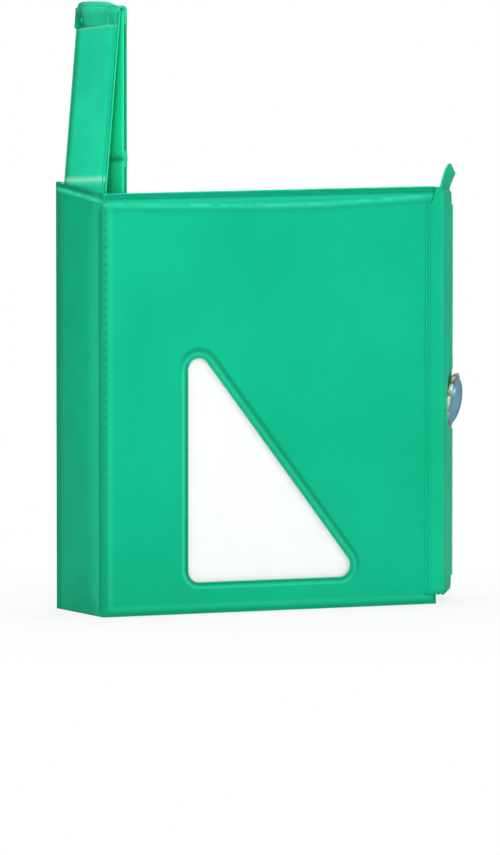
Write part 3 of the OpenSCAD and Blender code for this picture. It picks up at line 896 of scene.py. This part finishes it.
rootGap, endGap = 0.7, 0.3
farLength = (creaseAxis - tuckAxis).length
tuckLength = tuckAxis.z - nodeBox("tuck_skin")[0].z
lidPiece("lidFace", "lid", "lid", nearPlace, rootGap, leafLength - endGap, 21, "lidVinylPaintedLight", (0, 3))
lidPiece("lidFarFace", "lid_far", "lid_far", farPlace, rootGap, farLength - endGap, 22, "farVinylPaintedLight", (3, 0))
lidPiece(
    "tuckFace", "tuck", "tuck", tuckPlace, rootGap, tuckLength, 23, "farVinylPaintedLight", (0, 4), lidSheet["tuckSwell"],
)
bandMesh = {"columns": 48, "overhang": 0.08}


def softBand(name, path, relief, finish, thick):
    # a strip of soft vinyl across the lid, swept along a path of places on one leaf, round and on the next
    verts, gaps, folds = [], [], []
    columns, last = bandMesh["columns"], len(path) - 1
    for i, p in enumerate(path):
        along = (path[min(i + 1, last)] - path[max(i - 1, 0)]).normalized()
        out = Vector((-along.z, 0, along.x))
        for j in range(columns + 1):
            y = (lidHalf + bandMesh["overhang"]) * (2 * j / columns - 1)
            lift, drop, gap = relief(i / last, y, p)
            q = p + out * lift
            verts.append((q.x, y, q.z - drop))
            gaps.append(gap)
            folds.append((p - path[0]).length)
    width = columns + 1
    faces = [
        (i * width + j, (i + 1) * width + j, (i + 1) * width + j + 1, i * width + j + 1)
        for i in range(last) for j in range(columns)
    ]
    band = meshObject(name, verts, faces, vinyls[finish])
    storeLayers(band, {
        "wedgeGap": gaps, "backGap": [lidHalf - v[1] for v in verts], "foldGap": folds,
        "edgeGap": np.full(len(verts), farAway),
    })
    addWall(band, thick)
    return band


creaseBand = {
    "tail": 7.2, "proud": 0.75, "rise": 1.7, "lower": 0.5, "side": 1.8, "thick": 0.9, "edge": 2.5,
    "swell": 0.2, "wedge": 7.6, "farProud": 0.06, "upSteps": 9, "overSteps": 24, "downSteps": 7,
    "blendReach": 3.0,
}
# shares of the way over the crease at which its swell starts, its dent stops and its painted fold shadow ends
creaseStops = {"start": 0.08, "end": 0.1, "dent": 0.42, "dentFade": 0.12, "line": 0.45}
creaseDent = {"depth": 0.7, "width": 1.8}
creaseFold = {"depth": 0.35, "turns": 4.0, "size": 9.0, "seed": 4.0}
# the front corner sags and the rear one stands up
creaseTop = {"sag": 1.7, "sagFrom": 0.2, "raise": 1.2}


def creasePath():
    spec = creaseBand
    path = []
    for k in range(spec["upSteps"]):
        s = leafLength - spec["tail"] * (1 - k / spec["upSteps"])
        path.append(Vector(nearPlace(s, 0, lidSheet["skinTop"] + spec["proud"])))
    for k in range(spec["overSteps"] + 1):
        a = math.pi - math.pi * k / spec["overSteps"]
        x, z = spec["side"] * math.cos(a), spec["rise"] * math.sin(a) - spec["lower"]
        path.append(creaseAxis + Vector((x, 0, z)))
    for k in range(1, spec["downSteps"] + 1):
        s = spec["tail"] * k / spec["downSteps"]
        path.append(Vector(farPlace(s, 0, lidSheet["skinTop"] + spec["farProud"])))
    return path


def creaseRelief(t, y, p):
    # swells between the edges, sags at the front corner, with one diagonal dent from the back corner; the
    # distance from the dent that it gives back carries a painted fold shadow
    spec, stops = creaseBand, creaseStops
    soft = smoothStep((lidHalf - abs(y)) / spec["edge"])
    over = smoothStep(t / stops["start"]) * smoothStep((1 - t) / stops["end"])
    up = p.z - creaseAxis.z + spec["tail"]
    gap = (lidHalf - y) - spec["wedge"] * (1 - up / (spec["tail"] + spec["rise"]))
    dent = creaseDent["depth"] * math.exp(-((gap / creaseDent["width"]) ** 2))
    dent *= smoothStep((stops["dent"] - t) / stops["dentFade"])
    fold = Vector((t * creaseFold["turns"], y / creaseFold["size"], creaseFold["seed"]))
    lift = over * (spec["swell"] * soft + creaseFold["depth"] * soft * noise.noise(fold) - dent * soft)
    top = min(1.0, max(0.0, up / spec["tail"])) ** 2
    front = (-y / lidHalf - creaseTop["sagFrom"]) / (1 - creaseTop["sagFrom"])
    drop = creaseTop["sag"] * top * smoothStep(front)
    drop -= creaseTop["raise"] * top * smoothStep(0.5 + 0.5 * y / lidHalf)
    return lift, drop, gap if t < stops["line"] else farAway


lidCrease = softBand("creaseBand", creasePath(), creaseRelief, "creaseVinylPaintedLight", creaseBand["thick"])
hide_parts("lid_crease")
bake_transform(lidCrease)
tuckBand = {
    "tail": 3.0, "thick": 1.32, "proud": 0.1, "steps": 8, "ridge": 0.12, "ridgeWidth": 0.14, "wave": 0.05,
    "waveTurns": 9, "waveSize": 5.0, "seed": 5, "blendReach": 1.8,
}


def tuckCreasePath():
    spec = tuckBand
    runs = [farLength + spec["tail"] * (k / spec["steps"] - 1) for k in range(2 * spec["steps"] + 1)]
    return [Vector(farPlace(s, 0, lidSheet["skinTop"] + spec["proud"])) for s in runs]


def tuckRelief(t, y, p):
    ridge = math.exp(-(((t - 0.5) / tuckBand["ridgeWidth"]) ** 2))
    wave = sway(t * tuckBand["waveTurns"], y, tuckBand["seed"], tuckBand["waveSize"])
    return tuckBand["ridge"] * ridge + tuckBand["wave"] * wave, 0.0, farAway


tuckCrease = softBand("tuckBand", tuckCreasePath(), tuckRelief, "farVinylPaintedLight", tuckBand["thick"])
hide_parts("tuck_crease")
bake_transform(tuckCrease)
# welds along both long edges of each leaf, which stop short of the soft creases
lidWeld = {
    "inset": 1.0, "radius": 0.24, "proud": 0.1, "wander": 0.12, "start": 1.0, "softEnd": 7.5, "farEnd": 1.5,
    "tuckStart": 0.5, "tuckEnd": 2.2,
}
for name, body, place, s0, s1 in (
    ("lidBeads", "lid", nearPlace, rootGap + lidWeld["start"], leafLength - lidWeld["softEnd"]),
    ("lidFarBeads", "lid_far", farPlace, lidWeld["softEnd"], farLength - lidWeld["farEnd"]),
    ("tuckBeads", "tuck", tuckPlace, rootGap + lidWeld["tuckStart"], tuckLength - lidWeld["tuckEnd"]),
):
    n = lidSheet["skinTop"] + lidWeld["proud"]
    runs = [[place(s, side * (lidHalf - lidWeld["inset"]), n) for s in (s0, s1)] for side in (-1, 1)]
    weldBead(name, runs, lidWeld["radius"], body, vinyls["faceVinyl"], wander=lidWeld["wander"])
print("lid made")


# the snap flap
flapSheet = {
    "thick": 0.8, "step": 1.6, "seed": 31, "pillow": 0.4, "pillowReach": 7.0, "wave": 0.35, "waveSize": 24.0,
    "face": 1.7,
}
flapSkinLow, flapSkinHigh = nodeBox("flap_skin")
flapLow, flapTop = flapSkinLow.z, flapSkinHigh.z
flapRoot, flapLength, flapCorner = 1.2, 35.0, 5.0
flapSpin = Matrix.Rotation(-flapOpen, 4, "Z")
flapBase = Vector((flapAxis.x, flapAxis.y, 0))


def flapPlace(out, along, z):
    # closed coordinates: out from the hinge line along X, along the flap in Y
    return tuple(flapBase + flapSpin @ Vector((out, along, z)))


flapFace = vinylSheet(
    "flapFace",
    roundedLoop(
        [(flapRoot, flapLow), (flapLength, flapLow), (flapLength, flapTop), (flapRoot, flapTop)],
        [0, flapCorner, flapCorner, 0],
    ),
    lambda u, v, h: flapPlace(flapSheet["face"] + h, u, v),
    pillowRelief(flapSheet), flapSheet, vinyls["flapVinylPaintedLight"],
)
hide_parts("flap_skin")
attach(flapFace, "flap")

earLow, earHigh = nodeBox("flap_ear")
earShape = {
    "thick": 0.8, "step": 1.2, "seed": 6, "curl": 0.8, "flare": 3.4, "wave": 0.25, "waveSize": 9.0,
    "shoulder": 0.62, "peak": 0.6, "layer": 0.9, "shoulderRadius": 1.5, "peakRadius": 2.5,
}
flapRim = frontHigh.z
earRise = earHigh.z - flapRim


def earRelief(u, v, edgeGap, holeGap):
    up = max(0.0, v - flapRim) / earRise
    flare = earShape["flare"] * up * (u / flapLength) ** 3
    wave = earShape["wave"] * sway(u, v, earShape["seed"], earShape["waveSize"])
    return earShape["curl"] * up * up + flare + wave


ear = vinylSheet(
    "flapEar",
    roundedLoop(
        [
            (flapRoot, earLow.z), (flapLength - flapCorner, earLow.z), (flapLength, flapTop),
            (flapLength, flapRim + earRise * earShape["shoulder"]),
            (flapLength * earShape["peak"], flapRim + earRise), (flapRoot, flapRim),
        ],
        [0, 0, 0, earShape["shoulderRadius"], earShape["peakRadius"], 0],
    ),
    lambda u, v, h: flapPlace(earShape["layer"] + h, u, v),
    earRelief, earShape, vinyls["flapVinylPaintedLight"],
)
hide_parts("flap_ear")
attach(ear, "flap")

flapHinge = {
    "web": 5.0, "webShift": 1.0, "webLap": 0.62, "webSteps": 8, "turnSteps": 12, "tail": 5.0, "tailSteps": 7,
    "thick": 0.55, "rows": 60, "foot": 0.5, "outCase": 1.0, "outFlap": 2.1, "wave": 0.12, "waveStep": 0.3,
    "waveLength": 14, "waveSeed": 2.0, "blendStart": (-0.6, -0.8), "blendEnd": (1.8, 1.4),
}
# the strip's top, by places along its plan: low on the front panel, with a fillet where it meets the flap
hingeTop = {
    "webDrop": 4.6, "webEnd": 4, "webReach": 3, "fillet": 1.1, "start": 5, "rise": 2, "end": 12, "fall": 5,
}


def hingePlan():
    # from the front panel round the hinge line and on to the flap
    spec = flapHinge
    plan = []
    for k in range(spec["webSteps"]):
        x = flapAxis.x - spec["web"] * (1 - k / spec["webSteps"]) - spec["webShift"]
        plan.append(Vector((x, -halfDepth - spec["webLap"], 0)))
    for k in range(spec["turnSteps"] + 1):
        t = k / spec["turnSteps"]
        a = -math.pi / 2 + (math.pi / 2 - flapOpen) * t
        r = spec["outCase"] + (spec["outFlap"] - spec["outCase"]) * t
        plan.append(Vector((flapAxis.x + r * math.cos(a), flapAxis.y + r * math.sin(a), 0)))
    for k in range(1, spec["tailSteps"] + 1):
        plan.append(Vector(flapPlace(spec["outFlap"], spec["tail"] * k / spec["tailSteps"], 0)))
    return plan


def makeFlapHinge():
    spec, top = flapHinge, hingeTop
    plan, low = hingePlan(), flapLow + flapHinge["foot"]
    verts = []
    for row in range(spec["rows"] + 1):
        for i, p in enumerate(plan):
            high = flapTop - top["webDrop"] * (1 - smoothStep((i - top["webEnd"]) / top["webReach"]))
            fillet = smoothStep((i - top["start"]) / top["rise"])
            high += top["fillet"] * fillet * (1 - smoothStep((i - top["end"]) / top["fall"]))
            z = low + (high - low) * row / spec["rows"]
            wave = noise.noise(Vector((i * spec["waveStep"], z / spec["waveLength"], spec["waveSeed"])))
            verts.append((p.x, p.y - spec["wave"] * wave, z))
    width = len(plan)
    faces = [
        (r * width + i, r * width + i + 1, (r + 1) * width + i + 1, (r + 1) * width + i)
        for r in range(spec["rows"]) for i in range(width - 1)
    ]
    strip = meshObject("flapHingeStrip", verts, faces, vinyls["faceVinyl"])
    addWall(strip, spec["thick"])
    return strip


flapHingeStrip = makeFlapHinge()
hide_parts("flap_hinge_strip")
tuple((flapBase + Vector((*flapHinge["blendStart"], 0))) * mm)
tuple(Vector(flapPlace(*flapHinge["blendEnd"], 0)) * mm)
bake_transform(flapHingeStrip)
snapZ = sum(v.z for v in nodeBox("snap_stud")) / 2
flapWeld = {"inset": 3.4, "proud": 0.15, "radius": 0.65, "ends": 5.0, "snapReach": 11.0}
flapBead = weldBead(
    "flapBead",
    [
        [flapPlace(flapSheet["face"] + flapWeld["proud"], flapLength - flapWeld["inset"], z) for z in span]
        for span in (
            (flapLow + flapWeld["ends"], snapZ - flapWeld["snapReach"]),
            (snapZ + flapWeld["snapReach"], flapTop - flapWeld["ends"]),
        )
    ],
    flapWeld["radius"], "flap", vinyls["weldVinylPaintedHighlight"], ripple=0.03, pitch=8.0, wander=0.1,
)
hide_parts("flap_edge_bead")
hingeWeld = {"inset": 3.4, "proud": 0.75, "foot": 2.0, "head": 5.0, "radius": 0.35}
hingeX, hingeY = halfWidth - hingeWeld["inset"], -halfDepth - hingeWeld["proud"]
weldBead(
    "hingeBeads",
    [[(hingeX, hingeY, flapLow + hingeWeld["foot"]), (hingeX, hingeY, flapTop - hingeWeld["head"])]],
    hingeWeld["radius"], "case", vinyls["faceVinyl"],
)
print("flap made")


# the snap's cap, turned on a lathe
def lathe(name, profile, place, material, segments=72):
    # profile points are (radius, distance out along the snap's axis)
    verts, faces = [], []
    for r, out in profile:
        for k in range(segments):
            a = 2 * math.pi * k / segments
            verts.append(place(out, r * math.cos(a), r * math.sin(a)))
    rings = len(profile)
    for i in range(rings - 1):
        for k in range(segments):
            n = (k + 1) % segments
            faces.append((i * segments + k, i * segments + n, (i + 1) * segments + n, (i + 1) * segments + k))
    faces.append(tuple(reversed(range(segments))))
    faces.append(tuple(range((rings - 1) * segments, rings * segments)))
    obj = meshObject(name, verts, faces, material)
    # the rolled rim's share, where its cream painted reflection and brown tarnish go
    rim = [smoothStep((r - capShape["rimFrom"]) / capShape["rimFade"]) for r, out in profile]
    storeLayers(obj, {"rolledRimReflectionAndTarnish": np.repeat(rim, segments)})
    return obj


capShape = {
    "pole": 0.01, "plate": 9.2, "rollMiddle": 9.1, "roll": 0.85, "rollTurn": 1.15, "rollSteps": 8,
    "groove": (8.3, 1.25), "domeRadius": 8.1, "domeFoot": 1.3, "domeRise": 2.9, "domeSteps": 16,
    "rimFrom": 8.7, "rimFade": 0.5,
}


def capProfile():
    # back plate, rolled rim, groove and dome, from the axis round and back to it
    spec = capShape
    roll = spec["roll"]
    points = [(spec["pole"], 0.0), (spec["plate"], 0.0)]
    for k in range(spec["rollSteps"] + 1):
        a = -math.pi / 2 + math.pi * spec["rollTurn"] * k / spec["rollSteps"]
        points.append((spec["rollMiddle"] + roll * math.cos(a), roll + roll * math.sin(a)))
    points.append(spec["groove"])
    for k in range(1, spec["domeSteps"] + 1):
        a = (math.pi / 2) * k / spec["domeSteps"]
        r = spec["domeRadius"] * math.cos(a) + spec["pole"]
        points.append((r, spec["domeFoot"] + spec["domeRise"] * math.sin(a)))
    return points


# the soft flap lets the cap lean: its far side and its top stand out further
capLean = {
    "turn": math.tan(math.radians(4)), "roll": math.tan(math.radians(9)), "out": 0.65, "grow": 1.05,
    "inset": 1.4, "down": 0.3,
}


def capPlace(out, a, b):
    lean = capLean["turn"] * a + capLean["roll"] * b + capLean["out"]
    along = halfDepth - capLean["inset"] + a * capLean["grow"]
    return flapPlace(flapSheet["face"] + out + lean, along, snapZ - capLean["down"] + b * capLean["grow"])


snapCap = lathe("snapCap", capProfile(), capPlace, snapMaterial)
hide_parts("snap_cap")
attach(snapCap, "flap")
print("snap made")


# finishes of the pieces that stay as the frame has them
nodeFinish = {
    "front_lining": "whiteLining", "back_lining": "whiteLining", "spine_lining": "whiteLining",
    "end_lining": "whiteLining", "bottom_lining": "whiteLining", "flap_lining": "insideVinyl",
    "bottom_skin": "spineVinylPaintedShade", "front_rim_weld": "weldVinylPaintedHighlight", "back_rim_weld": "weldVinylPaintedHighlight",
    "end_rim_weld": "weldVinylPaintedHighlight", "lid_hinge_strip": "lidVinylPaintedLight",
}


def finishFor(node):
    if node in nodeFinish:
        return vinyls[nodeFinish[node]]
    if node.endswith("_board"):
        return cardMaterial
    if node == "window_film":
        return filmMaterial
    if node.startswith("snap_"):
        return snapMaterial
    return vinyls["faceVinyl"]


for nodeName, nodeObject in frame["nodes"].items():
    for materialSlot in nodeObject.material_slots:
        materialSlot.material = finishFor(nodeName)
slotFor = {
    "nickelSnap": "snap_metal", "spineVinylPaintedShade": "vinyl_side", "farVinylPaintedLight": "vinyl_side",
    "liningVinylPaintedLight": "vinyl_side",
}
cadObjects = set(frame["nodes"].values())
for piece in bpy.context.scene.objects:
    if piece.type == "MESH" and piece not in cadObjects:
        slotFor.get(piece.data.materials[0].name, "vinyl")
print("finishes set")

# stage, lamps and camera
studio = {
    "floor": 3.0, "floorDrop": 0.2, "floorColour": (0.92, 0.92, 0.92, 1), "glow": 0.78, "glowNear": 0.09,
    "glowFar": 0.22, "lampScale": 0.8, "world": 0.5, "sheen": 0.1, "behindLow": -0.1, "behindHigh": 0.5,
}


def makeFloorWhite():
    # seen white by the camera, by gloss and through film, and a plain matt surface to all other light
    material = bpy.data.materials.new("floorWhite")
    material.use_nodes = True
    tree = material.node_tree
    tree.nodes.clear()
    path = tree.nodes.new("ShaderNodeLightPath").outputs
    paintedHighlight = mathNode(tree, "MULTIPLY", path["Is Glossy Ray"], studio["sheen"])
    seen = mathNode(tree, "MAXIMUM", path["Is Camera Ray"], paintedHighlight)
    seen = mathNode(tree, "MAXIMUM", seen, path["Is Transmission Ray"])
    reach = addNode(tree, "ShaderNodeVectorMath", {0: objectCoords(tree)}, operation="LENGTH")
    clear = remap(tree, reach.outputs["Value"], studio["glowNear"], studio["glowFar"], studio["glow"])
    dim = remap(tree, path["Is Glossy Ray"], 0.0, 1.0, 1.0, studio["sheen"])
    colour = mixColour(tree, dim, (0, 0, 0, 1), studio["floorColour"])
    matt = addNode(tree, "ShaderNodeBsdfDiffuse", {"Color": colour})
    light = addNode(tree, "ShaderNodeEmission", {"Strength": 1.0})
    both = addNode(tree, "ShaderNodeMixShader", {
        0: mathNode(tree, "MULTIPLY", seen, clear), 1: matt.outputs[0], 2: light.outputs[0],
    })
    addNode(tree, "ShaderNodeOutputMaterial", {"Surface": both.outputs[0]})
    return material


def makeStage():
    size, low = studio["floor"] / mm / 2, -studio["floorDrop"]
    floor = meshObject(
        "floor", [(-size, -size, low), (size, -size, low), (size, size, low), (-size, size, low)],
        [(0, 1, 2, 3)], makeFloorWhite(), smooth=False,
    )
    world = bpy.data.worlds.new("studioWorld")
    bpy.context.scene.world = world
    world.use_nodes = True
    tree = world.node_tree
    tree.nodes.clear()
    path = tree.nodes.new("ShaderNodeLightPath").outputs
    seen = mathNode(tree, "MAXIMUM", path["Is Camera Ray"], path["Is Transmission Ray"])
    coords = tree.nodes.new("ShaderNodeTexCoord").outputs["Generated"]
    split = addNode(tree, "ShaderNodeSeparateXYZ", {0: coords})
    behind = remap(tree, split.outputs["Y"], studio["behindLow"], studio["behindHigh"])
    gloss = mathNode(tree, "MULTIPLY", path["Is Glossy Ray"], behind)
    gloss = mathNode(tree, "MULTIPLY", gloss, studio["sheen"])
    soft = mathNode(tree, "MULTIPLY", path["Is Diffuse Ray"], studio["world"])
    strength = mathNode(tree, "MAXIMUM", mathNode(tree, "MAXIMUM", seen, gloss), soft)
    background = addNode(tree, "ShaderNodeBackground", {"Color": (1, 1, 1, 1), "Strength": strength})
    addNode(tree, "ShaderNodeOutputWorld", {"Surface": background.outputs[0]})


def softLamp(name, place, size, power):
    lamp = bpy.data.lights.new(name, "AREA")
    lamp.shape = "RECTANGLE"
    lamp.size, lamp.size_y = size
    lamp.energy = power * studio["lampScale"]
    obj = bpy.data.objects.new(name, lamp)
    bpy.context.scene.collection.objects.link(obj)
    obj.location = place
    obj.rotation_euler = (Vector(lampAim) - Vector(place)).to_track_quat("-Z", "Y").to_euler()


makeStage()
lampAim = (0, 0, 0.1)
lamps = {
    "keyLamp": ((-0.45, -1.0, 0.8), (0.5, 0.5), 2.9),
    "rightLamp": ((1.0, -0.85, 0.6), (0.4, 0.4), 4.0),
    "sideLamp": ((-1.0, -0.15, 0.6), (0.5, 0.5), 2.6),
    "gapLamp": ((-0.58, -1.0, 0.2), (0.25, 0.25), 3.8),
    "topLamp": ((0.0, 0.1, 1.1), (0.7, 0.5), 3),
    "backLamp": ((0.5, 0.9, 0.6), (0.6, 0.6), 4),
}
for lampName, (lampPlace, lampSize, lampPower) in lamps.items():
    softLamp(lampName, lampPlace, lampSize, lampPower)

# where the photograph was taken from, its focal length and its height in pixels
view = {
    "azimuth": -25.62, "elevation": 1.53, "distance": 1500.0, "focalPixels": 4155.0, "photoPixels": 855,
    "about": 90.0, "aimZ": 64.6, "shiftX": 0.0028, "near": 0.01, "far": 20,
}


def makeCamera():
    data = bpy.data.cameras.new("camera")
    data.sensor_fit = "AUTO"
    data.sensor_width = 36.0
    data.lens = view["focalPixels"] / view["photoPixels"] * data.sensor_width
    camera = bpy.data.objects.new("camera", data)
    bpy.context.scene.collection.objects.link(camera)
    a, e = math.radians(view["azimuth"]), math.radians(view["elevation"])
    back = Vector((math.sin(a) * math.cos(e), -math.cos(a) * math.cos(e), math.sin(e)))
    data.shift_x = view["shiftX"]
    camera.location = (Vector((0, 0, view["about"])) + back * view["distance"]) * mm
    aim = Vector((0, 0, view["aimZ"])) * mm
    camera.rotation_euler = (aim - camera.location).to_track_quat("-Z", "Y").to_euler()
    data.clip_start, data.clip_end = view["near"], view["far"]
    bpy.context.scene.camera = camera


makeCamera()
bpy.context.scene.view_settings.view_transform = "Standard"
print("studio made")
